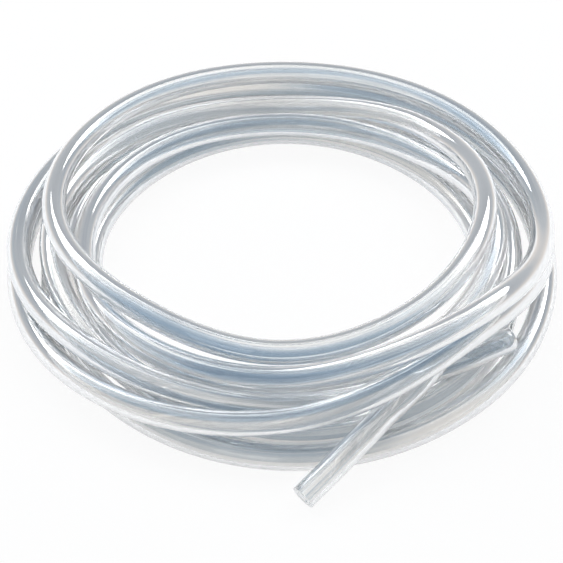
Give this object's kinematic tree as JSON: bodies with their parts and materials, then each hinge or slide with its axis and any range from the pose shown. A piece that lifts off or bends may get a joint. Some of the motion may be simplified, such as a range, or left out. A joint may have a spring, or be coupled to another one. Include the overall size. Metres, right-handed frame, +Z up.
{
  "type": "silicone tubing coil",
  "caption": "Loose flat coil of clear silicone laboratory tubing with both cut ends free, for joining barbed fittings, pumps and flasks.",
  "frame": {"origin": "middle of the coil's footprint on the surface it lies on", "axes": "+Z up, the coil's axis; the near cut end points towards -Y, and +X is to the right of a viewer there"},
  "size_m": [0.207, 0.2296, 0.0442],
  "materials": {
    "silicone": "clear, smooth and glossy"
  },
  "bodies": {
    "root": {"tubing": "silicone"}
  },
  "joints": []
}
